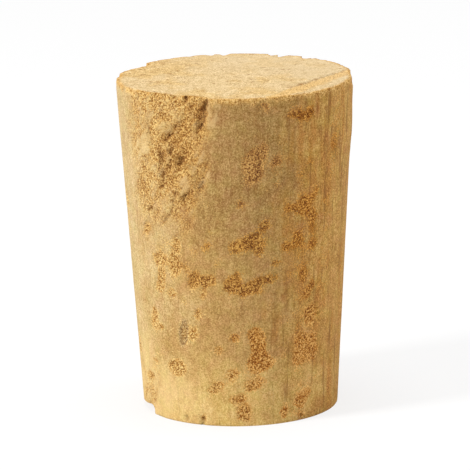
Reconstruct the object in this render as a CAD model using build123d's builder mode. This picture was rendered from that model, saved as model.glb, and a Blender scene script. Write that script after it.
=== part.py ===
from build123d import *
import os

# A tapered stopper of natural cork: one plug of bark, punched out along the grain and ground to a taper.
# It stands on its narrow end. The origin is the centre of that end, +Z runs up the axis to the wide end,
# and -Y is the side that carries the torn strip. Turns are in degrees, counter-clockwise from +X.

# Plug
top_diameter = 27.0
bottom_diameter = 22.3
length = 38.0
top_edge_break = 0.25
bottom_edge_break = 0.2

# Pores: the channels that cross the bark open on the wall as rough hollows of many sizes.
# A hollow's long and broad shares are of pore_span, and its depth share is of pore_depth.
pore_span = 4.0
pore_depth = 0.5

# Torn strips: bark pulled off along the grain, deepest at the step on one side
tear_depth = 0.85

# Chip out of the bottom edge, on the -X side
chip_lip = 0.2
chip_height = 1.1
chip_reach = 1.25
chip_wall_run = 0.3
chip_back = 1.5

# Worn place on the top edge, on the +X side
worn_width = 0.5
worn_height = 1.8

# Growth line: a fine crack in the top face, where one year's bark ends
growth_line_length = 11.0
growth_line_width = 0.4
growth_line_depth = 0.35

# All cuts run past the plug by this much
overrun = 1.0

top_radius = top_diameter / 2
bottom_radius = bottom_diameter / 2
taper = (top_radius - bottom_radius) / length

# Outlines of a hollow's mouth, along and across it, as shares of its length and breadth.
# The floor of a hollow has the same outline, smaller by floor_share.
ragged_outline_shares = [
    # oval with bitten sides
    [(0.50, 0.06), (0.30, 0.34), (0.06, 0.50), (-0.18, 0.32), (-0.42, 0.38),
     (-0.50, -0.08), (-0.28, -0.32), (-0.02, -0.50), (0.20, -0.28), (0.40, -0.32)],
    # wedge
    [(0.50, 0.14), (0.16, 0.28), (-0.10, 0.50), (-0.46, 0.40), (-0.50, -0.10),
     (-0.30, -0.50), (0.02, -0.32), (0.26, -0.42), (0.42, -0.14)],
    # two lobes
    [(0.50, -0.10), (0.42, 0.36), (0.16, 0.50), (0.00, 0.22), (-0.26, 0.44), (-0.50, 0.16),
     (-0.42, -0.38), (-0.14, -0.50), (0.06, -0.24), (0.30, -0.46)],
]
floor_share = 0.65

# Each hollow: turn, height share of the length, long share, broad share, depth share, lean.
# The lean is in degrees from upright, towards a growing turn.
front_pore_shares = [
    # beside the torn strip, from the top edge down
    (284, 0.977, 0.36, 0.26, 0.7, 85),
    (278, 0.803, 1.00, 0.66, 0.8, 0),
    (283, 0.840, 0.40, 0.36, 0.6, 205),
    (289, 0.804, 0.62, 0.22, 0.5, 82),
    (278, 0.757, 0.50, 0.24, 0.5, 260),
    (272, 0.688, 0.32, 0.24, 0.6, 75),
    (270, 0.556, 0.62, 0.44, 1.0, 70),
    (276, 0.572, 0.70, 0.46, 0.7, 60),
    (281, 0.553, 0.50, 0.46, 0.6, 200),
    (284, 0.612, 0.62, 0.30, 0.5, 40),
    (254, 0.553, 0.42, 0.26, 0.7, 20),
    (256, 0.605, 0.16, 0.12, 0.6, 0),
    (260, 0.510, 0.24, 0.18, 0.5, 0),
    # middle of the front
    (267, 0.448, 0.78, 0.44, 0.9, 40),
    (275, 0.424, 0.84, 0.56, 0.9, 85),
    (286, 0.452, 0.80, 0.28, 0.7, 80),
    (246, 0.452, 0.60, 0.40, 0.8, 10),
    (254, 0.448, 0.56, 0.44, 0.6, 80),
    (251, 0.405, 0.34, 0.24, 0.5, 0),
    # below the torn strip
    (236, 0.558, 0.40, 0.34, 0.6, 0),
    (224, 0.500, 0.52, 0.44, 0.7, 75),
    (234, 0.492, 0.78, 0.50, 0.8, 180),
    (241, 0.485, 0.36, 0.16, 0.9, -30),
    (224, 0.434, 0.78, 0.34, 0.6, 20),
    (232, 0.404, 0.34, 0.30, 0.6, 60),
    (247, 0.347, 0.44, 0.24, 0.6, 0),
    (238, 0.281, 0.84, 0.32, 0.8, 12),
    (244, 0.282, 0.46, 0.30, 0.4, 20),
    (216, 0.310, 0.86, 0.40, 0.4, 0),
    (222, 0.284, 0.26, 0.18, 0.6, 80),
    (232, 0.172, 0.80, 0.62, 0.6, 80),
    (213, 0.168, 0.26, 0.16, 0.8, 80),
    (205, 0.118, 0.60, 0.28, 0.4, 70),
    # lower front
    (258, 0.237, 0.36, 0.30, 0.6, 30),
    (267, 0.275, 0.34, 0.30, 0.6, 60),
    (279, 0.262, 0.78, 0.54, 0.8, 0),
    (281, 0.195, 0.84, 0.68, 1.0, 260),
    (265, 0.160, 0.50, 0.36, 0.5, 50),
    (277, 0.130, 0.62, 0.42, 0.5, 75),
    (255, 0.116, 0.60, 0.30, 0.5, 60),
    (268, 0.082, 0.52, 0.42, 0.6, 50),
    (272, 0.036, 0.54, 0.38, 0.7, 190),
    (247, 0.015, 0.34, 0.26, 0.8, 20),
    (236, 0.014, 0.20, 0.18, 0.6, 0),
    # right of the front
    (299, 0.946, 0.46, 0.26, 0.6, 75),
    (304, 0.936, 0.66, 0.32, 0.5, 85),
    (309, 0.945, 0.44, 0.32, 0.7, 10),
    (327, 0.830, 0.54, 0.16, 0.6, 0),
    (310, 0.797, 0.24, 0.18, 0.5, 60),
    (316, 0.837, 0.14, 0.12, 0.5, 0),
    (299, 0.662, 0.54, 0.36, 0.7, 75),
    (306, 0.662, 0.66, 0.50, 0.7, 240),
    (312, 0.630, 0.56, 0.30, 0.6, -60),
    (313, 0.694, 0.46, 0.24, 0.5, 50),
    (313, 0.590, 0.50, 0.26, 0.5, -20),
    (297, 0.545, 0.46, 0.36, 0.5, 75),
    (303, 0.562, 0.42, 0.30, 0.5, 20),
    (313, 0.542, 0.42, 0.36, 0.4, 60),
    (291, 0.500, 0.34, 0.22, 0.4, 80),
    (312, 0.402, 0.66, 0.28, 0.6, 35),
    (307, 0.455, 0.52, 0.20, 0.4, 0),
    (312, 0.318, 0.66, 0.48, 0.7, 190),
    (306, 0.224, 0.92, 0.56, 0.6, 8),
    (314, 0.222, 0.92, 0.58, 0.6, 180),
    (308, 0.068, 0.72, 0.40, 0.6, 50),
    (307, 0.012, 0.34, 0.18, 0.8, 85),
    (296, 0.030, 0.38, 0.26, 0.5, 0),
]
back_pore_shares = [
    # right side
    (344, 0.450, 0.60, 0.20, 0.5, 0),
    (352, 0.200, 0.55, 0.20, 0.5, 5),
    (8, 0.850, 0.60, 0.20, 0.5, 0),
    (20, 0.620, 0.70, 0.34, 0.7, 10),
    (28, 0.300, 0.80, 0.42, 0.8, 0),
    # back
    (38, 0.780, 0.55, 0.40, 0.7, 70),
    (52, 0.480, 0.80, 0.36, 0.8, 80),
    (64, 0.160, 0.72, 0.46, 0.8, 60),
    (75, 0.840, 0.80, 0.50, 0.8, 0),
    (84, 0.360, 0.82, 0.42, 0.9, 75),
    (92, 0.680, 0.66, 0.34, 0.7, 30),
    (98, 0.100, 0.60, 0.36, 0.6, 80),
    (106, 0.520, 0.90, 0.50, 0.9, 85),
    (112, 0.270, 0.66, 0.40, 0.7, 0),
    (122, 0.760, 0.50, 0.36, 0.6, 60),
    (130, 0.420, 0.70, 0.34, 0.7, 15),
    (138, 0.620, 0.60, 0.40, 0.7, 75),
    # left side
    (146, 0.200, 0.80, 0.50, 0.8, 20),
    (158, 0.480, 0.70, 0.36, 0.7, 70),
    (168, 0.330, 0.55, 0.30, 0.6, 0),
    (184, 0.600, 0.50, 0.24, 0.5, 10),
    (190, 0.200, 0.60, 0.36, 0.5, 20),
]
rim_notch_shares = [
    # pores that the grinding of the top face cut open, along the back edge
    (51, 0.990, 0.55, 0.50, 1.9, 0),
    (64, 0.985, 0.60, 0.42, 2.4, 0),
    (70, 0.990, 0.40, 0.26, 1.6, 180),
    (95, 0.990, 0.50, 0.36, 2.0, 0),
    (102, 0.990, 0.40, 0.26, 1.5, 180),
]
torn_floor_shares = [
    # gouges in the torn strip, from the step down and to the left
    (254, 0.957, 0.90, 0.42, 2.0, 15),
    (252, 0.925, 0.50, 0.44, 1.4, 180),
    (235, 0.890, 0.86, 0.26, 1.3, 38),
    (231, 0.815, 0.60, 0.24, 1.0, 0),
    (239, 0.803, 0.44, 0.36, 1.3, 0),
    (219, 0.868, 0.60, 0.30, 0.7, 30),
    (222, 0.825, 0.60, 0.26, 0.7, 235),
    (228, 0.750, 0.56, 0.18, 0.9, 5),
    (237, 0.758, 0.90, 0.60, 0.6, 60),
    (252, 0.748, 0.60, 0.26, 0.8, 48),
    # gouges below it
    (244, 0.672, 0.70, 0.44, 0.6, 60),
    (223, 0.655, 0.80, 0.34, 0.6, 48),
    (211, 0.662, 0.66, 0.30, 0.5, 235),
    (229, 0.622, 0.50, 0.20, 0.6, 45),
    (215, 0.585, 0.66, 0.28, 0.5, 28),
]

# Each torn strip: the turn where it runs out, the turn of its step, and its depth half-way as a share
torn_strip_shares = [
    (208, 256, 0.80),
    (175, 142, 0.55),
]

# Growth line: its middle, as shares of the top radius, and the turn that it runs along
growth_line_middle_shares = (0.70, -0.18)
growth_line_turn = 58


def wall_mouth(turn, height, lean):
    """Return the plane that touches the wall at a turn and height, its X axis along the hollow and Z outward."""
    upward = Vector(taper, 0, 1).rotate(Axis.Z, turn)
    outward = Vector(1, 0, -taper).rotate(Axis.Z, turn)
    place = Vector(bottom_radius + taper * height, 0, height).rotate(Axis.Z, turn)
    return Plane(origin=place, x_dir=upward.rotate(Axis((0, 0, 0), outward), -lean), z_dir=outward)


def gouge(mouth, outline_shares, long, broad, depth):
    """Return the cutter of a hollow: a ragged outline at the mouth plane that narrows down to a floor."""
    with BuildPart() as hollow:
        for lift, size_share in ((depth, 2 - floor_share), (-depth, floor_share)):
            corners = [(long * size_share * x, broad * size_share * y) for x, y in outline_shares]
            with BuildSketch(mouth.offset(lift)):
                with BuildLine():
                    Polyline(corners, close=True)
                make_face()
        loft(ruled=True)
    return hollow.part


def on_plan(radius, turn):
    """Return the point of the top face's plan at a radius and turn."""
    return Vector(radius, 0).rotate(Axis.Z, turn)


hollows = []
pore_shares = front_pore_shares + back_pore_shares + rim_notch_shares + torn_floor_shares
for number, (turn, height_share, long_share, broad_share, depth_share, lean) in enumerate(pore_shares):
    mouth = wall_mouth(turn, length * height_share, lean)
    outline_shares = ragged_outline_shares[number % len(ragged_outline_shares)]
    long = pore_span * long_share
    broad = pore_span * broad_share
    hollows.append(gouge(mouth, outline_shares, long, broad, pore_depth * depth_share))

growth_line_x_share, growth_line_y_share = growth_line_middle_shares
growth_line_mouth = Plane(
    origin=(top_radius * growth_line_x_share, top_radius * growth_line_y_share, length),
    x_dir=on_plan(1, growth_line_turn),
)
growth_line_shares = ragged_outline_shares[0]
hollows.append(
    gouge(growth_line_mouth, growth_line_shares, growth_line_length, growth_line_width, growth_line_depth)
)

with BuildPart() as stopper:
    # the ground plug, with its edges slightly broken
    with BuildSketch(Plane.XZ):
        with BuildLine():
            Polyline((0, 0), (bottom_radius, 0), (top_radius, length), (0, length), close=True)
        make_face()
    revolve(axis=Axis.Z)
    rims = stopper.edges().filter_by(GeomType.CIRCLE).sort_by(Axis.Z)
    chamfer(rims[-1], length=top_edge_break)
    chamfer(rims[0], length=bottom_edge_break)

    # torn strips: cut straight down along the grain, so that the taper runs them out
    for run_out_turn, step_turn, middle_share in torn_strip_shares:
        middle_turn = (run_out_turn + step_turn) / 2
        with BuildSketch(Plane.XY.offset(length)):
            with BuildLine():
                floor = ThreePointArc(
                    on_plan(top_radius, run_out_turn),
                    on_plan(top_radius - tear_depth * middle_share, middle_turn),
                    on_plan(top_radius - tear_depth, step_turn),
                )
                step = Line(floor @ 1, on_plan(top_radius + overrun, step_turn))
                outside = ThreePointArc(
                    step @ 1,
                    on_plan(top_radius + overrun, middle_turn),
                    on_plan(top_radius + overrun, run_out_turn),
                )
                Line(outside @ 1, floor @ 0)
            make_face()
        extrude(amount=-length, mode=Mode.SUBTRACT)

    # chip out of the bottom edge
    with BuildSketch(Plane.XZ.offset(-chip_back)):
        with BuildLine():
            Polyline(
                (-bottom_radius - overrun, 0),
                (-bottom_radius - overrun, chip_lip),
                (-bottom_radius, chip_lip),
                (-bottom_radius + chip_reach, chip_height),
                (-bottom_radius + chip_reach + chip_wall_run, 0),
                close=True,
            )
        make_face()
    extrude(amount=bottom_radius + chip_back, mode=Mode.SUBTRACT)

    # worn place on the top edge
    with BuildSketch(Plane.XZ):
        with BuildLine():
            Polyline(
                (top_radius - worn_width, length),
                (top_radius, length - worn_height),
                (top_radius + overrun, length),
                close=True,
            )
        make_face()
    extrude(amount=top_radius, both=True, mode=Mode.SUBTRACT)

    # pores, rim notches, gouges and the growth line
    add(hollows, mode=Mode.SUBTRACT)

stopper.part.label = "stopper"
os.makedirs("parts", exist_ok=True)
export_step(stopper.part, "parts/stopper.step")
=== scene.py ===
import math

import bpy
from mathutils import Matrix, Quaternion, Vector


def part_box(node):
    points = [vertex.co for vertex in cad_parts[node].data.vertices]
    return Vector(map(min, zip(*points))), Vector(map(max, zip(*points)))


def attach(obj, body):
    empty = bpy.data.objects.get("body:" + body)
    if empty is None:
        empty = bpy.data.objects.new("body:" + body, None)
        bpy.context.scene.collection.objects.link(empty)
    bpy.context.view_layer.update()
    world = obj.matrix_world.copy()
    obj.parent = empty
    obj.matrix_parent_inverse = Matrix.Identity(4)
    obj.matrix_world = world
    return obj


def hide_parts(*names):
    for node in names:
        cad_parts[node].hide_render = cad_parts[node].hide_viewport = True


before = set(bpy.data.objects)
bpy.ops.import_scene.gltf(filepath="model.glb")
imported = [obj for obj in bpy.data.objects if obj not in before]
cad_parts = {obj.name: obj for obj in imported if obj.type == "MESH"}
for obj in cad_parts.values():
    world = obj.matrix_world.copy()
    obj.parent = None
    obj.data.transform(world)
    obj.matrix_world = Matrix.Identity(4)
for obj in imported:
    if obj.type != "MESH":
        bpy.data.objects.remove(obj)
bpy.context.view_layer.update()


# Blank of the stopper
# One plug of natural cork bark, punched out along the grain and ground to a taper, so it is round and plain.
# Its mesh is a grid wrapped round the taper, closed by a disc of square-grown quads at each end.
# Each point keeps its turn round the axis, its height, how far out it lies and which end face it is on.

low_corner, high_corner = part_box("stopper")
plug_length = high_corner.z - low_corner.z
wide_radius = 0.0135
narrow_radius = 0.01115
quads_across = 100
columns = 4 * quads_across
rows = 180
TOP_FACE, WALL, BOTTOM_FACE = 1, 0, -1


def disc_place(across, along):
    """Return the reach, from 0 to 1, and the turn on the disc of a point of the square from -1 to 1."""
    if across == 0 and along == 0:
        return 0, 0
    if abs(across) >= abs(along):
        turn = math.pi / 4 * along / across
        return abs(across), turn if across > 0 else turn + math.pi
    turn = math.pi / 2 - math.pi / 4 * across / along
    return abs(along), turn if along > 0 else turn + math.pi


places = []
for row in range(rows + 1):
    for column in range(columns):
        places.append((math.tau * column / columns, plug_length * row / rows, 1, WALL))
quads = []
for row in range(rows):
    for column in range(columns):
        near = row * columns
        beside = (column + 1) % columns
        quads.append((near + column, near + beside, near + columns + beside, near + columns + column))
for end, height, rim_row in ((BOTTOM_FACE, 0, 0), (TOP_FACE, plug_length, rows)):
    points = {}
    for i in range(quads_across + 1):
        for j in range(quads_across + 1):
            reach, turn = disc_place(2 * i / quads_across - 1, 2 * j / quads_across - 1)
            if reach == 1:
                points[i, j] = rim_row * columns + round(turn / math.tau * columns) % columns
            else:
                points[i, j] = len(places)
                places.append((turn, height, reach, end))
    for i in range(quads_across):
        for j in range(quads_across):
            quad = (points[i, j], points[i + 1, j], points[i + 1, j + 1], points[i, j + 1])
            quads.append(quad if end == TOP_FACE else quad[::-1])

blank = bpy.data.meshes.new("cork_blank")
blank.from_pydata([(0, 0, height) for turn, height, reach, end in places], [], quads)
for number, name in enumerate(("turn", "height", "reach", "end")):
    column_values = blank.attributes.new(name, "FLOAT", "POINT")
    column_values.data.foreach_set("value", [place[number] for place in places])


# Surface of the bark
# The grinding lays open the bark's pores as rough hollows, and a strip has torn away down the front left.
# The hollows, tears and chips are the solid's own, found by rays, with ragged edges and crumbly floors.
# Crumbs, ridges, fine cracks and the smallest pores are added to them here.


class Value:
    """One output in a node tree. Arithmetic on values adds the Math nodes that work it out."""

    def __init__(self, tree, socket):
        self.tree = tree
        self.socket = socket

    def math(self, operation, *terms):
        node = self.tree.nodes.new("ShaderNodeMath")
        node.operation = operation
        for socket, term in zip(node.inputs, (self, *terms)):
            feed(self.tree, socket, term)
        return Value(self.tree, node.outputs[0])

    def __add__(self, term):
        return self.math("ADD", term)

    def __sub__(self, term):
        return self.math("SUBTRACT", term)

    def __mul__(self, term):
        return self.math("MULTIPLY", term)

    def __truediv__(self, term):
        return self.math("DIVIDE", term)

    def step(self, start, end):
        """Rise smoothly from 0 to 1 as the value goes from start to end."""
        limits = {"Value": self, "From Min": start, "From Max": end}
        return add(self.tree, "ShaderNodeMapRange", limits, interpolation_type="SMOOTHSTEP")


def feed(tree, socket, term):
    """Set a node's input to a plain number, or link it to a value."""
    if isinstance(term, Value):
        tree.links.new(term.socket, socket)
    else:
        socket.default_value = term


def add(tree, kind, inputs, output=0, **settings):
    """Add a node with these inputs and settings, and return one of its outputs."""
    node = tree.nodes.new(kind)
    for name, setting in settings.items():
        setattr(node, name, setting)
    for name, term in inputs.items():
        feed(tree, node.inputs[name], term)
    return Value(tree, node.outputs[output])


def vector(tree, x, y, z):
    return add(tree, "ShaderNodeCombineXYZ", {"X": x, "Y": y, "Z": z})


def parts_of(tree, vector_value):
    """Return the X, Y and Z of a vector."""
    return [add(tree, "ShaderNodeSeparateXYZ", {"Vector": vector_value}, output=axis) for axis in "XYZ"]


def noise(tree, place, size, seed, detail=2.0, roughness=0.5, output="Fac"):
    """Return soft noise whose patches are about this size."""
    inputs = {"Vector": place, "W": seed, "Scale": 1 / size, "Detail": detail, "Roughness": roughness}
    return add(tree, "ShaderNodeTexNoise", inputs, output=output, noise_dimensions="4D")


def crumbs(tree, place, size, seed):
    """Return 0 in the middle of each crumb and about 1 in the gaps between crumbs of this size."""
    inputs = {"Vector": place, "W": seed, "Scale": 1 / size}
    return add(tree, "ShaderNodeTexVoronoi", inputs, output="Distance", voronoi_dimensions="4D")


bark = bpy.data.node_groups.new("bark_surface", "GeometryNodeTree")
bark.interface.new_socket("Geometry", in_out="INPUT", socket_type="NodeSocketGeometry")
bark.interface.new_socket("Geometry", in_out="OUTPUT", socket_type="NodeSocketGeometry")
bark_sockets = {}
for name, kind in (
    ("Solid", "NodeSocketObject"),
    ("Material", "NodeSocketMaterial"),
    ("Length", "NodeSocketFloat"),
    ("Wide radius", "NodeSocketFloat"),
    ("Narrow radius", "NodeSocketFloat"),
    ("Ragged edge", "NodeSocketFloat"),
    ("Crumb depth", "NodeSocketFloat"),
    ("Ridge depth", "NodeSocketFloat"),
    ("Crack depth", "NodeSocketFloat"),
    ("Pore depth", "NodeSocketFloat"),
    ("Chip depth", "NodeSocketFloat"),
    ("Bulge", "NodeSocketFloat"),
    ("Corner", "NodeSocketFloat"),
    ("Seed", "NodeSocketFloat"),
):
    bark_sockets[name] = bark.interface.new_socket(name, in_out="INPUT", socket_type=kind)
bark_input = bark.nodes.new("NodeGroupInput")
size_of = {name: Value(bark, bark_input.outputs[name]) for name in bark_sockets}
length, seed = size_of["Length"], size_of["Seed"]


def kept(name):
    """Return a number that the blank keeps at each point."""
    return add(bark, "GeometryNodeInputNamedAttribute", {"Name": name}, output="Attribute", data_type="FLOAT")


def keep(shape, name, value):
    """Return the shape with a value worked out once at each point and kept there under this name."""
    stored = {"Geometry": shape, "Name": name, "Value": value}
    return add(bark, "GeometryNodeStoreNamedAttribute", stored, data_type="FLOAT", domain="POINT")


shaped = Value(bark, bark_input.outputs["Geometry"])
turn, height, reach, end = kept("turn"), kept("height"), kept("reach"), kept("end")
edge_inset = 0.00002


def taper_radius(at_height):
    widening = size_of["Wide radius"] - size_of["Narrow radius"]
    return size_of["Narrow radius"] + widening * at_height / length


def clamp_height(at_height):
    return at_height.math("MAXIMUM", edge_inset).math("MINIMUM", length - edge_inset)


wall_height = clamp_height(height)
radius = taper_radius(wall_height)
cosine, sine = turn.math("COSINE"), turn.math("SINE")
wall_place = vector(bark, cosine * radius, sine * radius, wall_height)

# the solid is felt a little to one side, by a different amount at each place, which makes edges ragged
ragged = size_of["Ragged edge"] * 2
felt_turn, felt_height = turn, wall_height
for fray_size, fray_share in ((0.0040, 1.6), (0.0011, 1.0)):
    fray = noise(bark, wall_place, fray_size, seed, detail=3.0, roughness=0.6, output="Color")
    fray_around, fray_up = parts_of(bark, fray)[:2]
    felt_turn = felt_turn + (fray_around - 0.5) * ragged * fray_share / radius
    felt_height = clamp_height(felt_height + (fray_up - 0.5) * ragged * fray_share)
felt_cosine, felt_sine = felt_turn.math("COSINE"), felt_turn.math("SINE")
ray_lead = 1.2
ray_start = size_of["Wide radius"] * ray_lead
solid_shape = add(bark, "GeometryNodeObjectInfo", {"Object": size_of["Solid"]}, output="Geometry")
wall_ray = {
    "Target Geometry": solid_shape,
    "Source Position": vector(bark, felt_cosine * ray_start, felt_sine * ray_start, felt_height),
    "Ray Direction": vector(bark, felt_cosine * -1, felt_sine * -1, 0),
    "Ray Length": ray_start,
}
hit_distance = add(bark, "GeometryNodeRaycast", wall_ray, output="Hit Distance")
hollow = (taper_radius(felt_height) - ray_start + hit_distance).math("MAXIMUM", 0)
shaped = keep(shaped, "hollow", hollow)
hollow = kept("hollow")


def spread_out(value, rounds):
    """Return a value averaged with its neighbours on the mesh, this many times over."""
    return add(bark, "GeometryNodeBlurAttribute", {"Value": value, "Iterations": rounds}, data_type="FLOAT")


# the torn place: rough from its left edge to the step, and fading out down the wall, with slanting ridges
turn_degrees = turn * (180 / math.pi)
wander_size, crumble_size = 0.0030, 0.0007
wander = noise(bark, wall_place, wander_size, seed + 1, detail=3.0) - 0.5
crumble = noise(bark, wall_place, crumble_size, seed + 6, detail=3.0, roughness=0.65) - 0.5
shaped = keep(keep(shaped, "wander", wander), "crumble", crumble)
wander, crumble = kept("wander"), kept("crumble")
tear_left_turns = (199, 214)
tear_foot_heights = (0.0175, 0.0280)
step_turn, step_foot, step_slope = 256, 0.030, 1400
right_edge = (wall_height - step_foot).math("MINIMUM", 0) * step_slope + step_turn
torn_zone = (turn_degrees + wander * 24).step(*tear_left_turns)
torn_zone = torn_zone * (turn_degrees - right_edge + wander * 18 + crumble * 12).step(2.0, -3.5)
torn_zone = torn_zone * (wall_height + wander * 0.014).step(*tear_foot_heights)
arc_radius = 0.0125
arc = turn * arc_radius
ridge_slant = math.radians(58)
ridge_stretch = 0.40
along_ridge = arc * math.cos(ridge_slant) + wall_height * math.sin(ridge_slant)
across_ridge = wall_height * math.cos(ridge_slant) - arc * math.sin(ridge_slant)
ridge_place = vector(bark, along_ridge * ridge_stretch, across_ridge, 0)
coarse_ridges = noise(bark, ridge_place, 0.0014, seed + 3, detail=2.0, roughness=0.6)
fine_ridges = noise(bark, ridge_place, 0.0005, seed + 8, detail=2.0, roughness=0.6)
shaped = keep(shaped, "ridges", coarse_ridges * 0.62 + fine_ridges * 0.38)
ridges = kept("ridges")

# marks that follow lines on the wall: the turn in degrees and the height in millimetres of each line's start
# and end, and its breadth in millimetres
line_arc = arc + crumble * 0.0020
line_height = wall_height + wander * 0.0016
line_inputs = ("Arc", "Height", "Start arc", "Start height", "Run", "Rise", "Length squared", "Breadth")
wall_line = bpy.data.node_groups.new("wall_line", "GeometryNodeTree")
for name in line_inputs:
    wall_line.interface.new_socket(name, in_out="INPUT", socket_type="NodeSocketFloat")
wall_line.interface.new_socket("Nearness", in_out="OUTPUT", socket_type="NodeSocketFloat")
line_input = wall_line.nodes.new("NodeGroupInput")
on_line = {name: Value(wall_line, line_input.outputs[name]) for name in line_inputs}
from_arc, from_height = on_line["Arc"] - on_line["Start arc"], on_line["Height"] - on_line["Start height"]
passed = (from_arc * on_line["Run"] + from_height * on_line["Rise"]) / on_line["Length squared"]
passed = passed.math("MAXIMUM", 0).math("MINIMUM", 1)
aside_arc, aside_height = from_arc - passed * on_line["Run"], from_height - passed * on_line["Rise"]
aside = (aside_arc * aside_arc + aside_height * aside_height).math("SQRT")
line_output = wall_line.nodes.new("NodeGroupOutput")
feed(wall_line, line_output.inputs["Nearness"], aside.step(on_line["Breadth"], 0))


def near_line(start_turn, start_height, end_turn, end_height, breadth):
    """Return 1 on the line between two turns and heights, and 0 past its breadth."""
    run = math.radians(end_turn - start_turn) * arc_radius
    rise = (end_height - start_height) / 1000
    inputs = {
        "Arc": line_arc,
        "Height": line_height,
        "Start arc": math.radians(start_turn) * arc_radius,
        "Start height": start_height / 1000,
        "Run": run,
        "Rise": rise,
        "Length squared": run * run + rise * rise,
        "Breadth": breadth / 1000,
    }
    return add(bark, "GeometryNodeGroup", inputs, node_tree=wall_line)


def near_lines(*lines):
    """Return 1 on the nearest of several lines, and 0 away from them all."""
    nearest = near_line(*lines[0])
    for line in lines[1:]:
        nearest = nearest.math("MAXIMUM", near_line(*line))
    return nearest


# cracks in the torn place, and three short ones in the bottom edge
cracks = near_lines(
    (256.0, 38.2, 253.6, 36.2, 0.62),
    (253.6, 36.2, 251.2, 34.6, 0.56),
    (245.4, 38.2, 243.4, 37.4, 0.36),
    (240.2, 35.3, 236.5, 34.0, 0.38),
    (236.5, 34.0, 231.6, 32.6, 0.34),
    (234.6, 32.0, 233.0, 30.0, 0.34),
    (228.2, 31.4, 228.4, 27.4, 0.36),
    (241.4, 31.0, 239.0, 30.4, 0.48),
    (221.6, 35.0, 221.0, 32.6, 0.34),
    (255.2, 28.9, 250.0, 27.2, 0.36),
    (245.0, 27.4, 241.6, 26.3, 0.32),
    (237.2, 26.9, 233.0, 24.4, 0.30),
    (233.0, 24.4, 228.4, 23.2, 0.30),
    (221.6, 25.6, 216.8, 24.4, 0.32),
    (216.6, 23.4, 213.2, 22.5, 0.32),
    (247.8, 1.1, 246.4, 0.3, 0.30),
    (235.8, 0.8, 237.8, 0.4, 0.26),
    (308.4, 0.8, 306.6, 0.3, 0.28),
)
cracks = cracks * (crumble + ridges * -1 + 0.5).step(-0.16, 0.12)
# pale lips of bark beside the step and over the lowest gouge, partly the bark's own paler colour and partly a
# painted highlight along their edges
pale_lips_and_highlight = near_lines(
    (257.5, 37.6, 257.2, 35.8, 0.30),
    (257.2, 35.8, 258.6, 35.0, 0.30),
    (262.0, 37.4, 261.2, 35.8, 0.26),
    (261.2, 35.8, 259.4, 34.8, 0.26),
    (256.0, 29.4, 250.6, 27.9, 0.40),
)
# bands where the ground wall is more open, with scattered specks of pore
grainy_band = near_lines(
    (305.0, 21.0, 306.5, 3.5, 2.2),
    (303.0, 29.0, 307.0, 23.0, 1.6),
    (323.0, 25.0, 322.0, 12.0, 1.6),
    (228.0, 21.0, 224.0, 16.0, 2.0),
    (238.0, 20.5, 232.0, 17.6, 1.5),
    (222.0, 19.6, 226.0, 17.0, 1.4),
    (330.0, 36.0, 326.0, 28.0, 1.6),
    (292.0, 33.5, 290.0, 28.0, 1.4),
    (274.5, 30.6, 281.5, 32.0, 1.4),
    (251.0, 3.4, 272.0, 6.4, 1.0),
    (284.0, 5.2, 273.0, 4.2, 1.0),
    (273.0, 4.2, 272.0, 0.6, 1.2),
    (311.0, 4.4, 308.0, 1.0, 1.3),
    (330.0, 5.6, 312.0, 4.6, 0.8),
    (220.0, 8.0, 206.0, 3.0, 1.6),
    (276.0, 6.8, 288.0, 7.2, 1.3),
    (278.0, 11.0, 282.0, 8.0, 1.3),
    (303.0, 0.6, 313.0, 3.4, 1.1),
    (295.5, 0.8, 297.5, 1.8, 0.9),
    (267.5, 1.0, 274.0, 2.4, 1.0),
    (312.0, 13.0, 316.0, 11.0, 1.1),
    (24.0, 33.0, 20.0, 20.0, 2.0),
    (52.0, 24.0, 56.0, 8.0, 2.4),
    (84.0, 14.0, 80.0, 3.0, 1.8),
    (98.0, 33.0, 94.0, 22.0, 2.0),
    (122.0, 20.0, 126.0, 6.0, 2.2),
    (168.0, 16.0, 164.0, 5.0, 1.8),
    (186.0, 30.0, 192.0, 20.0, 1.8),
    (352.0, 24.0, 348.0, 10.0, 1.8),
    (8.0, 14.0, 12.0, 4.0, 1.6),
)
# patches of small pores on the back and the sides
far_pores = near_lines(
    (352.0, 31.5, 358.0, 30.2, 1.1),
    (5.0, 24.0, 1.0, 21.0, 1.2),
    (14.0, 12.5, 24.0, 11.0, 1.3),
    (20.0, 34.6, 29.0, 35.2, 0.8),
    (38.0, 27.6, 47.0, 29.2, 1.3),
    (43.0, 17.0, 40.0, 13.6, 1.5),
    (58.0, 6.4, 68.0, 7.6, 1.2),
    (66.0, 22.4, 80.0, 23.4, 1.2),
    (74.0, 33.0, 71.0, 30.6, 1.3),
    (88.0, 14.2, 95.0, 11.6, 1.6),
    (101.0, 28.4, 112.0, 27.2, 1.3),
    (108.0, 4.4, 115.0, 3.2, 1.1),
    (118.0, 18.6, 128.0, 20.2, 1.4),
    (126.0, 33.8, 131.0, 32.0, 1.0),
    (140.0, 9.6, 148.0, 7.4, 1.4),
    (158.0, 20.6, 170.0, 19.4, 1.2),
    (176.0, 11.8, 172.0, 9.0, 1.3),
    (186.0, 25.4, 192.0, 24.0, 1.1),
)
# hairlines along the grain
hairlines = near_lines(
    (280.8, 38.0, 280.6, 33.4, 0.30),
    (262.8, 37.5, 262.4, 36.1, 0.26),
    (262.4, 36.1, 260.4, 34.9, 0.26),
    (281.4, 28.4, 281.0, 23.8, 0.28),
    (299.6, 34.6, 299.4, 27.4, 0.30),
    (320.4, 36.0, 321.0, 26.0, 0.36),
    (327.6, 33.4, 327.0, 29.6, 0.50),
    (311.0, 24.2, 311.6, 19.6, 0.40),
    (289.6, 15.4, 289.8, 8.2, 0.28),
    (296.4, 17.0, 296.0, 13.0, 0.30),
    (272.4, 17.0, 272.2, 12.6, 0.24),
    (341.0, 30.0, 340.0, 16.0, 0.40),
)

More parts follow.
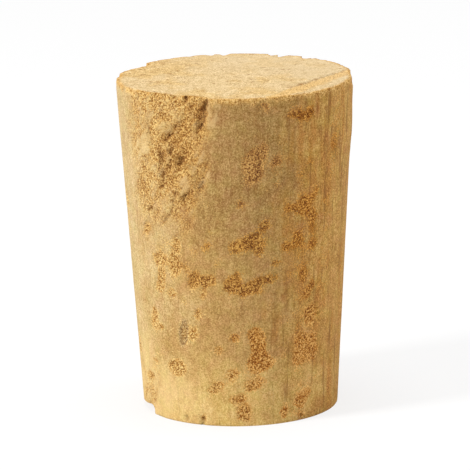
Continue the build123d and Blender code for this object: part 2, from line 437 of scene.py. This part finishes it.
# the small torn place low on the left, and the one on the back left, whose outline shows on the left
low_tear = (turn_degrees + wander * 20).step(188, 196) * (turn_degrees + wander * 20).step(219, 210)
low_tear = low_tear * (wall_height + wander * 0.004).step(0.0064, 0.0044)
low_tear = low_tear * (ridges + crumble * 0.6).step(0.42, 0.54)
back_zone = turn_degrees.step(136, 139) * turn_degrees.step(184, 180) * wall_height.step(0.0150, 0.0170)
back_tear = spread_out(hollow.step(0.00005, 0.00015) * back_zone, 12) + wander * 1.6 + crumble * 1.2
back_tear = back_tear.step(0.30, 0.70) * spread_out(back_zone, 3)
shaped = keep(shaped, "torn_zone", torn_zone.math("MAXIMUM", back_tear))
torn_zone = kept("torn_zone")
torn = torn_zone * ((ridges * -1 + crumble * 0.6 + 1).step(0.42, 0.54) * 0.6 + 0.4)
torn = torn.math("MAXIMUM", low_tear * 0.8)

# the pores, crumbling a little past the edges of their hollows, without the broken edges of the two ends
on_wall = wall_height.step(0.0002, 0.0005) * wall_height.step(length - 0.0003, length - 0.0006)
torn_strip = turn_degrees.step(203, 206) * turn_degrees.step(260, 258) * wall_height.step(0.0230, 0.0245)
open_bark = hollow.step(0.00003, 0.00010) * on_wall * (torn_strip * -0.9 + 1) * (back_zone * -1 + 1)
behind = sine.step(-0.15, 0.25)
openness = (noise(bark, wall_place, 0.0060, seed + 9, detail=1.0) - 0.5) * 2.4 * behind
scatter = noise(bark, wall_place, 0.0013, seed + 10, detail=2.0, roughness=0.6) - 0.5
pore = spread_out(open_bark, 6) * (openness + 1.2) + crumble * 1.3 + scatter * 0.45 + grainy_band * 0.28
shaped = keep(shaped, "open_share", pore + far_pores * (scatter * 1.6 + 0.70))
pore = kept("open_share")
# narrow hollows, which the cork's colour darkens below as painted shade
narrow_hollow = (hollow - spread_out(hollow, 14)).step(0.00012, 0.00040) * on_wall
rough = (pore.step(0.20, 0.60) * on_wall).math("MAXIMUM", torn)

# crumbs of cork on rough floors, chips along the top edge, a slightly uneven wall that bulges high on the
# right, and one sharp corner at the top left
crumb_size = 0.00050
swell_depth = 0.00008
bulge_height, bulge_span = 0.0318, 0.0040
corner_turn = 166
gaps = crumbs(bark, wall_place, crumb_size, seed + 2)
swell = noise(bark, wall_place, 0.0060, seed + 4, detail=2.0)
edge_place = vector(bark, cosine * size_of["Wide radius"], sine * size_of["Wide radius"], 0)
edge_chips = noise(bark, edge_place, 0.0013, seed + 7, detail=3.0, roughness=0.65).step(0.46, 0.66)
edge_chips = edge_chips * (sine.step(0.3, -0.3) * 0.75 + 0.25)
edge_chips = edge_chips * (turn_degrees.step(203, 212) * turn_degrees.step(260, 256) * 1.2 + 1)
near_edge = wall_height.step(length - 0.0008, length) * reach.step(0.95, 1.0)
edge_crumbs = (wall_height + crumble * 0.0016).step(length - 0.0012, length)
step_end = wall_height.step(0.0350, 0.0320) * turn_degrees.step(240, 256)
felt_hollow = hollow * (hollow.step(0.00030, 0.00070) * 0.7 + 0.3) * (step_end * -0.9 + 1)
back_share = spread_out(back_zone, 2)
worn_in = spread_out(felt_hollow, 1) * (back_share * -1 + 1) + spread_out(felt_hollow, 8) * back_share
worn_in = worn_in + (rough + edge_crumbs) * gaps * size_of["Crumb depth"] + swell * swell_depth
worn_in = worn_in + far_pores * rough * size_of["Pore depth"]
worn_in = worn_in + (torn_zone + low_tear * 0.5) * (ridges * -1 + 0.75) * size_of["Ridge depth"]
worn_in = worn_in + cracks * size_of["Crack depth"] + edge_chips * near_edge * size_of["Chip depth"]
bulge = cosine.step(0.80, 1.0) * (wall_height - bulge_height).math("ABSOLUTE").step(bulge_span, 0.0)
left_corner = (turn_degrees - corner_turn).math("ABSOLUTE").step(9, 1) * wall_height.step(0.0330, 0.0376)
outer_reach = radius - worn_in.math("MAXIMUM", 0) + bulge * size_of["Bulge"]
outer_reach = (outer_reach + left_corner * size_of["Corner"]) * reach
spot_x, spot_y = cosine * outer_reach, sine * outer_reach

# the end faces: fine crumbs, and the growth line of the solid's top
face_lead = 0.001
face_crumb_size, face_crumb_depth, growth_line_depth = 0.0006, 0.00008, 0.0004
face_ray = {
    "Target Geometry": solid_shape,
    "Source Position": vector(bark, spot_x, spot_y, height + end * face_lead),
    "Ray Direction": vector(bark, 0, 0, end * -1),
    "Ray Length": 2 * face_lead,
}
face_hollow = add(bark, "GeometryNodeRaycast", face_ray, output="Hit Distance") - face_lead
inner = reach.step(0.97, 0.90)
face_place = vector(bark, spot_x, spot_y, height)
face_gaps = crumbs(bark, face_place, face_crumb_size, seed + 5)
face_hollow = face_hollow.math("MAXIMUM", 0).math("MINIMUM", growth_line_depth)
face_hollow = (face_hollow + face_gaps * face_crumb_depth) * inner
on_end = end.math("ABSOLUTE")
spot_z = height - end * on_end * face_hollow - edge_chips * near_edge * size_of["Chip depth"]
moved = {"Geometry": shaped, "Position": vector(bark, spot_x, spot_y, spot_z)}
shaped = add(bark, "GeometryNodeSetPosition", moved)

# what the cork's colours need at each point, with a grey stain low on the left and the crumbly rim of the top
side_face = on_end * -1 + 1
stain_turn, stain_half_turns, stain_lean = 237.6, 2.9, -900
stain_height, stain_half_height = 0.0107, 0.0017
stain_around = turn_degrees - stain_turn + wander * 4 + (wall_height - stain_height) * stain_lean
stain_around = stain_around / stain_half_turns
stain_up = (wall_height - stain_height + wander * 0.001) / stain_half_height
stain_reach = (stain_around * stain_around + stain_up * stain_up).math("SQRT")
stain = stain_reach.step(1.15, 0.85) * (stain_reach.step(0.25, 0.85) * 0.55 + 0.45)
rim = (wall_height + crumble * 0.0026 + wander * 0.0012).step(length - 0.0008, length - 0.0002) * side_face
rim = rim.math("MAXIMUM", (reach + crumble * 0.04).step(0.965, 0.99) * end.math("MAXIMUM", 0))
for name, amount in (
    ("pore", pore * on_wall * side_face),
    ("torn", torn * side_face),
    ("deep", narrow_hollow * side_face),
    ("rim", rim),
    ("stain", stain * side_face),
    ("top", end.math("MAXIMUM", 0)),
    ("face", on_end),
    ("crevice", cracks * side_face),
    ("lip", pale_lips_and_highlight * side_face),
    ("hairline", hairlines * side_face),
    ("ridge", (ridges - 0.5) * torn_zone * side_face),
):
    shaped = keep(shaped, name, amount)
for kind in ("GeometryNodeSetShadeSmooth", "GeometryNodeRealizeInstances"):
    shaped = add(bark, kind, {"Geometry": shaped})
shaped = add(bark, "GeometryNodeSetMaterial", {"Geometry": shaped, "Material": size_of["Material"]})
bark_output = bark.nodes.new("NodeGroupOutput")
feed(bark, bark_output.inputs["Geometry"], shaped)


# Cork
# Dry natural cork: pale tan where it is ground smooth, with fine streaks along the grain and tiny specks.
# The open pores and torn floors are crumbly, with orange-brown gaps between paler crumbs, the gaps partly
# painted shade.
# Nothing coats it, so it is dull all over, and the bark's own tint drifts from place to place.
# The paler left and narrow end are partly painted light, cracks, narrow hollows and ridge valleys carry
# painted shade, and ridge tops and lips carry painted highlights.

cork = bpy.data.materials.new("natural_cork")
cork.use_nodes = True
paint = cork.node_tree
cork_shader = paint.nodes["Principled BSDF"]
cork_place = add(paint, "ShaderNodeTexCoord", {}, output="Object")


def mask(name):
    """Return a number that the bark's surface keeps at each point."""
    return add(paint, "ShaderNodeAttribute", {}, output="Fac", attribute_name=name)


def linear(red, green, blue):
    """Return a colour, written as it looks on a screen from 0 to 255, as linear light."""
    shares = (part / 255 for part in (red, green, blue))
    light = [share / 12.92 if share <= 0.04045 else ((share + 0.055) / 1.055) ** 2.4 for share in shares]
    return light + [1.0]


def mixed(first, second, share):
    """Return a colour that goes from the first to the second as share goes from 0 to 1."""
    node = paint.nodes.new("ShaderNodeMix")
    node.data_type = "RGBA"
    for name, term in (("A_Color", first), ("B_Color", second), ("Factor_Float", share)):
        socket = next(socket for socket in node.inputs if socket.identifier == name)
        feed(paint, socket, term)
    return Value(paint, next(socket for socket in node.outputs if socket.identifier == "Result_Color"))


def ramp(value, *stops):
    """Return a colour that goes through these stops, each a position and a colour, as the value rises."""
    node = paint.nodes.new("ShaderNodeValToRGB")
    elements = node.color_ramp.elements
    while len(elements) < len(stops):
        elements.new(0.5)
    for element, (position, colour) in zip(elements, stops):
        element.position = position
        element.color = colour
    feed(paint, node.inputs["Fac"], value)
    return Value(paint, node.outputs["Color"])


def tones(value, dark, middle, light):
    """Return a colour that goes from dark through middle to light as the value goes from 0 to 1."""
    return ramp(value, (0.0, linear(*dark)), (0.5, linear(*middle)), (1.0, linear(*light)))


def spread(value, gain):
    """Return soft noise stretched about its middle, so that it fills the range from 0 to 1."""
    stretched = (value - 0.5) * gain + 0.5
    return stretched.math("MAXIMUM", 0).math("MINIMUM", 1)


place_x, place_y, place_z = parts_of(paint, cork_place)
along_grain = add(paint, "ShaderNodeMapping", {"Vector": cork_place, "Scale": (1, 1, 0.05)})
along_bands = add(paint, "ShaderNodeMapping", {"Vector": cork_place, "Scale": (1, 1, 0.15)})
cloud = spread(noise(paint, cork_place, 0.0045, 11, detail=4.0, roughness=0.6), 2.5)
streak = noise(paint, along_grain, 0.0005, 12, detail=2.0, roughness=0.6)
band = noise(paint, along_bands, 0.0014, 16, detail=3.0, roughness=0.6)
grain = spread(noise(paint, cork_place, 0.00015, 13, detail=2.0, roughness=0.6), 4.2)
along_fibres = add(paint, "ShaderNodeMapping", {"Vector": cork_place, "Scale": (1, 1, 0.13)})
fibre = spread(noise(paint, along_fibres, 0.00022, 19, detail=2.0, roughness=0.6), 3.0)
mottle = spread(noise(paint, cork_place, 0.0011, 15, detail=3.0, roughness=0.65), 2.5)
patches = spread(noise(paint, cork_place, 0.0024, 21, detail=3.0, roughness=0.6), 2.5)
speck = spread(noise(paint, cork_place, 0.00015, 20, detail=2.0, roughness=0.55), 3.8)
fine_gaps = crumbs(paint, cork_place, 0.00022, 14)

# the ground wall: paler on the left and towards the narrow end, and browner on the right and high in front;
# the paler left and narrow end are partly the cork's own colour and partly painted light from the lamp on the
# left and the white floor, and the browner right is partly painted shade
side = place_x / wide_radius + (cloud - 0.5) * 0.5
wall_grain = grain * 0.53 + fibre * 0.19 + mottle * 0.10 + patches * 0.18
pale_and_lit_left_wall = tones(wall_grain, (156, 124, 73), (203, 174, 122), (241, 216, 168))
middle_wall = tones(wall_grain, (142, 104, 50), (187, 147, 88), (221, 181, 120))
brown_wall = tones(wall_grain, (120, 82, 34), (169, 130, 75), (213, 174, 117))
right_wall = tones(wall_grain, (122, 78, 28), (188, 142, 75), (230, 187, 121))
pale_and_floor_lit_wall = tones(wall_grain, (184, 143, 71), (220, 183, 109), (248, 218, 155))
ground = mixed(pale_and_lit_left_wall, middle_wall, side.step(-0.95, -0.25))
ground = mixed(ground, brown_wall, place_z.step(0.014, 0.027) * side.step(-0.62, -0.15))
ground = mixed(ground, right_wall, side.step(0.10, 0.70))
# painted light, in part: paler towards the narrow end and straw-coloured low on the left, as the white floor
# lights it
paleness_and_floor_light = (place_z + (cloud - 0.5) * 0.006).step(0.012, 0.0) * side.step(0.9, -0.1) * 0.92
ground = mixed(ground, pale_and_floor_lit_wall, paleness_and_floor_light)
# the dark streak brown colours the real streaks along the grain, and also paints shade into ridge valleys
straw_and_floor_light, low_brown, dark_streak_and_valley_shade = linear(234, 207, 158), linear(150, 104, 48), linear(134, 92, 44)
ground = mixed(ground, straw_and_floor_light, paleness_and_floor_light * side.step(-0.15, -0.85) * 0.6)
ground = mixed(ground, low_brown, side.step(0.45, 0.95) * place_z.step(0.022, 0.008) * 0.18)
right_share = side.step(0.06, 0.70) * ((place_y / wide_radius).step(0.10, -0.35) * 0.55 + 0.45)
banding = band.step(0.48, 0.60) * (right_share * 0.75 + 0.08)
band_brown = tones(speck, (136, 86, 34), (180, 127, 61), (212, 160, 88))
ground = mixed(ground, band_brown, banding)
streak_share = streak.step(0.56, 0.66) * (right_share * 0.52 + 0.15)
streak_share = streak_share.math("MAXIMUM", mask("hairline") * (fibre * 0.5 + 0.2))
ground = mixed(ground, dark_streak_and_valley_shade, streak_share)
tint = spread(noise(paint, cork_place, 0.0016, 22, detail=3.0, roughness=0.6), 2.5)
richness = side.step(-0.2, -0.8) * place_z.step(0.024, 0.016) * 0.04
richness = side.step(0.10, 0.70) * 0.012 + richness + 1.010
warmth = (tint - 0.5) * 0.020 + (wall_grain - 0.5) * 0.006 + 0.5008
tinted = {"Color": ground, "Hue": warmth, "Saturation": richness}
ground = add(paint, "ShaderNodeHueSaturation", tinted, output="Color")

# open pores and torn floors: brown with dark gaps between crumbs, paler on the left and low down, and more
# orange on the right; the dark gaps are partly painted shade, and the paler left and low crumbs partly
# painted light from the lamp on the left and the white floor
# painted shade: the crumbs darken in the gaps between crumbs, in narrow hollows and along cracks, and in
# ridge valleys, and lighten on ridge tops
crumb_shade = speck * 1.15 - 0.10 + (fine_gaps * -1 + 0.6) * 0.25 + (mottle - 0.5) * 0.30
crumb_shade = crumb_shade - mask("deep") * 0.06 - mask("crevice") * 0.40 + mask("ridge") * 1.0
crumb_shade = crumb_shade + mask("torn") * 0.05
darker_crumbs = tones(crumb_shade, (102, 50, 2), (184, 123, 46), (232, 177, 90))
paler_and_lit_crumbs = tones(crumb_shade, (144, 86, 20), (226, 172, 92), (255, 224, 151))
# the paler crumbs on the left and low down are partly painted light from the lamp on the left and the white
# floor
crumb_paleness_and_light = side.step(0.0, -0.70) * 0.80 + place_z.step(0.020, 0.005) * 0.55
crumbly = mixed(darker_crumbs, paler_and_lit_crumbs, crumb_paleness_and_light.math("MINIMUM", 1))
orange_share = side.step(-0.35, 0.25) * place_z.step(0.020, 0.008)
orange_share = orange_share.math("MAXIMUM", side.step(0.15, 0.45) * 0.6)
dull_share = place_z.step(0.022, 0.029) * side.step(-0.4, -0.1) * side.step(0.55, 0.2)
tinted = {
    "Color": crumbly,
    "Hue": orange_share * -0.0098 + 0.5,
    "Saturation": orange_share * 0.05 - dull_share * 0.045 + 1,
    "Value": orange_share * 0.04 + 1,
}
crumbly = add(paint, "ShaderNodeHueSaturation", tinted, output="Color")

# the end faces: pale, with golden crumbs on the older side of the growth line, and a few brown specks
growth_turn = math.radians(58)
growth_x, growth_y = 0.00945, -0.00243
growth_run, growth_rise = math.cos(growth_turn), math.sin(growth_turn)
from_line = (place_y - growth_y) * growth_run - (place_x - growth_x) * growth_rise + (mottle - 0.5) * 0.0009
along_line = (place_x - growth_x) * growth_run + (place_y - growth_y) * growth_rise
line_end = along_line.math("ABSOLUTE").step(0.0062, 0.0050)
end_mottle = spread(noise(paint, cork_place, 0.0006, 17, detail=3.0, roughness=0.7), 3.0)
growth_line = from_line.math("ABSOLUTE").step(0.00034, 0.00006) * line_end * mask("top")
growth_line = growth_line * end_mottle.step(0.75, 0.35) * (speck * 0.9 + 0.2)
crumb_strip = from_line.step(0.0001, -0.0003) * from_line.step(-0.0024, -0.0016)
end_cloud = spread(noise(paint, cork_place, 0.0045, 18, detail=3.0, roughness=0.6), 3.0)
end_crumbs = (end_cloud + side * -0.25).step(0.45, 0.80).math("MAXIMUM", crumb_strip)
end_smooth = tones(end_mottle * 0.3 + speck * 0.7, (162, 124, 68), (209, 180, 130), (240, 219, 176))
end_rough = tones(end_mottle * 0.4 + speck * 0.6, (144, 98, 38), (206, 170, 107), (245, 220, 168))
end_grain = mixed(end_smooth, end_rough, end_crumbs * 0.85)
far_side = ((place_x + place_y) / wide_radius).step(-0.3, 0.9) * mask("top")
far_pale, speck_brown = linear(209, 188, 151), linear(158, 112, 58)
strip_gold = tones(speck, (164, 114, 50), (214, 169, 96), (240, 206, 140))
end_grain = mixed(end_grain, far_pale, far_side * 0.40)
end_grain = mixed(end_grain, strip_gold, crumb_strip * 0.55)
end_grain = mixed(end_grain, speck_brown, end_mottle.step(0.16, 0.02) * 0.8)

# the wall and the ends, then the rim, the rough places and the small marks over them
golden = tones(speck, (146, 96, 38), (206, 158, 84), (240, 202, 132))
surface = mixed(ground, end_grain, mask("face"))
surface = mixed(surface, golden, mask("rim") * 0.85)
pore_share = (mask("pore") + (speck - 0.5) * 0.55).step(0.23, 0.64) * 0.94
torn_share = mask("torn") * 0.9
rough_share = pore_share.math("MAXIMUM", torn_share)
surface = mixed(surface, crumbly, rough_share)
ridge_top_highlight, pinhole_brown, lip_pale_and_highlight = linear(244, 212, 154), linear(128, 86, 38), linear(224, 188, 128)
stain_grey = tones(speck, (112, 86, 54), (154, 124, 84), (200, 166, 118))
crevice_shade = tones(speck, (72, 40, 12), (112, 72, 30), (172, 124, 68))
growth_brown = tones(speck, (120, 76, 34), (156, 112, 62), (200, 158, 100))
# painted shade in the torn place's ridge valleys, and a painted highlight on its ridge tops
surface = mixed(surface, dark_streak_and_valley_shade, mask("ridge").step(-0.06, -0.15) * 0.10)
surface = mixed(surface, ridge_top_highlight, mask("ridge").step(0.03, 0.12) * 0.30)
pinholes = (speck + mottle * 0.3).step(0.08, 0.0) * 0.6
surface = mixed(surface, pinhole_brown, pinholes * (mask("face") * -1 + 1))
surface = mixed(surface, stain_grey, mask("stain") * 0.70)
# painted shade: the cracks are darkened as their depth would shade them
surface = mixed(surface, crevice_shade, mask("crevice") * 0.55)
# the lips: partly paler bark and partly a painted highlight
surface = mixed(surface, lip_pale_and_highlight, mask("lip") * 0.6)
surface = mixed(surface, growth_brown, growth_line * 0.7)
feed(paint, cork_shader.inputs["Base Color"], surface)
cork_roughness, cork_gloss, relief_depth, relief_strength = 0.88, 0.25, 0.00011, 0.9
cork_shader.inputs["Roughness"].default_value = cork_roughness
cork_shader.inputs["Specular IOR Level"].default_value = cork_gloss
relief = (speck - fine_gaps) * (rough_share * 0.85 + 0.15) - streak_share * 0.3 - growth_line * 0.6
bump = {"Height": relief, "Distance": relief_depth, "Strength": relief_strength}
feed(paint, cork_shader.inputs["Normal"], add(paint, "ShaderNodeBump", bump, output="Normal"))


# Stopper
# The finished plug: the blank with its bark surface, one piece of natural cork with nothing fixed to it.
# It is made a plain mesh here, and shows in place of the solid that it was felt from.

carrier = bpy.data.objects.new("cork_carrier", blank)
bpy.context.scene.collection.objects.link(carrier)
shaping = carrier.modifiers.new("bark_surface", "NODES")
shaping.node_group = bark
for name, setting in (
    ("Solid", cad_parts["stopper"]),
    ("Material", cork),
    ("Length", plug_length),
    ("Wide radius", wide_radius),
    ("Narrow radius", narrow_radius),
    ("Ragged edge", 0.00035),
    ("Crumb depth", 0.00012),
    ("Ridge depth", 0.00095),
    ("Crack depth", 0.00028),
    ("Pore depth", 0.00025),
    ("Chip depth", 0.00022),
    ("Bulge", 0.00014),
    ("Corner", 0.00024),
    ("Seed", 5.0),
):
    shaping[bark_sockets[name].identifier] = setting
stopper_mesh = bpy.data.meshes.new_from_object(carrier.evaluated_get(bpy.context.evaluated_depsgraph_get()))
bpy.data.objects.remove(carrier)
stopper = bpy.data.objects.new("cork_stopper", stopper_mesh)
bpy.context.scene.collection.objects.link(stopper)
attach(stopper, "root")
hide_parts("stopper")


# Floor
# A plain white studio table of matt board that runs on past the picture and takes the stopper's soft shadow.
# It glows a little where it is looked at, so that it shows as white, and adds no light to the stopper.

floor_reach = 3.0
floor_mesh = bpy.data.meshes.new("studio_floor")
floor_corners = [(-floor_reach, -floor_reach, 0), (floor_reach, -floor_reach, 0),
                 (floor_reach, floor_reach, 0), (-floor_reach, floor_reach, 0)]
floor_mesh.from_pydata(floor_corners, [], [(0, 1, 2, 3)])
floor = bpy.data.objects.new("studio_floor", floor_mesh)
bpy.context.scene.collection.objects.link(floor)
white = bpy.data.materials.new("studio_white")
white.use_nodes = True
sheet = white.node_tree
board = sheet.nodes["Principled BSDF"]
board_white, board_roughness, glow_share = (0.88, 0.88, 0.88, 1), 0.9, 0.75
board.inputs["Base Color"].default_value = board_white
board.inputs["Roughness"].default_value = board_roughness
glow = sheet.nodes.new("ShaderNodeEmission")


def looked_at(tree):
    """Return 1 where the camera, a reflection or a see-through surface looks, and 0 where light arrives."""
    rays = ("Camera", "Glossy", "Transmission")
    looks = [add(tree, "ShaderNodeLightPath", {}, output=f"Is {ray} Ray") for ray in rays]
    return looks[0].math("MAXIMUM", looks[1]).math("MAXIMUM", looks[2])


board_and_glow = {
    0: looked_at(sheet) * glow_share,
    1: Value(sheet, board.outputs["BSDF"]),
    2: Value(sheet, glow.outputs["Emission"]),
}
blend = add(sheet, "ShaderNodeMixShader", board_and_glow)
feed(sheet, sheet.nodes["Material Output"].inputs["Surface"], blend)
floor_mesh.materials.append(white)


# Light
# Soft studio lamps from the upper left, overhead and the right, in a white surround that fills the shadows.
# The surround is full white only where the camera, a reflection or a see-through surface looks at it.

world = bpy.data.worlds.new("studio")
bpy.context.scene.world = world
world.use_nodes = True
surround = world.node_tree
surround_light = 0.35
white_wall = surround.nodes["Background"]
white_wall.inputs["Color"].default_value = (1, 1, 1, 1)
feed(surround, white_wall.inputs["Strength"], looked_at(surround) * (1 - surround_light) + surround_light)
middle = Vector((0, 0, plug_length / 2))
for name, place, breadth, power in (
    ("key_lamp", (-0.52, -0.25, 0.48), 0.14, 3.7),
    ("top_lamp", (0.00, 0.00, 0.75), 0.40, 2.5),
    ("side_lamp", (0.60, 0.10, 0.30), 0.30, 1.2),
):
    lamp = bpy.data.lights.new(name, "AREA")
    lamp.size = breadth
    lamp.energy = power
    holder = bpy.data.objects.new(name, lamp)
    holder.location = place
    holder.rotation_euler = (middle - Vector(place)).to_track_quat("-Z", "Y").to_euler()
    bpy.context.scene.collection.objects.link(holder)
bpy.context.scene.view_settings.view_transform = "Standard"


# Camera
# A long lens a little above the stopper, looking along +Y and rolled slightly, as the photograph was taken.
# Its distance, height, roll and aim were fitted to the stopper's outline in a picture 470 pixels wide.

camera_distance = 0.47089
camera_raise = math.radians(13.386)
camera_roll = math.radians(-1.156)
aim_right = -0.000299
aim_up = 0.000490
sensor_width = 36.0
picture_width = 470
focal_pixels = 4127.4

towards_camera = Vector((0, -math.cos(camera_raise), math.sin(camera_raise)))
upward = Vector((0, math.sin(camera_raise), math.cos(camera_raise)))
camera_data = bpy.data.cameras.new("camera")
camera_data.sensor_width = sensor_width
camera_data.lens = focal_pixels * sensor_width / picture_width
camera_data.clip_start = 0.01
camera = bpy.data.objects.new("camera", camera_data)
camera.location = middle + towards_camera * camera_distance
aim = middle + Vector((aim_right, 0, 0)) + upward * aim_up
looking = (aim - camera.location).to_track_quat("-Z", "Y")
camera.rotation_euler = (looking @ Quaternion((0, 0, 1), camera_roll)).to_euler()
bpy.context.scene.collection.objects.link(camera)
bpy.context.scene.camera = camera
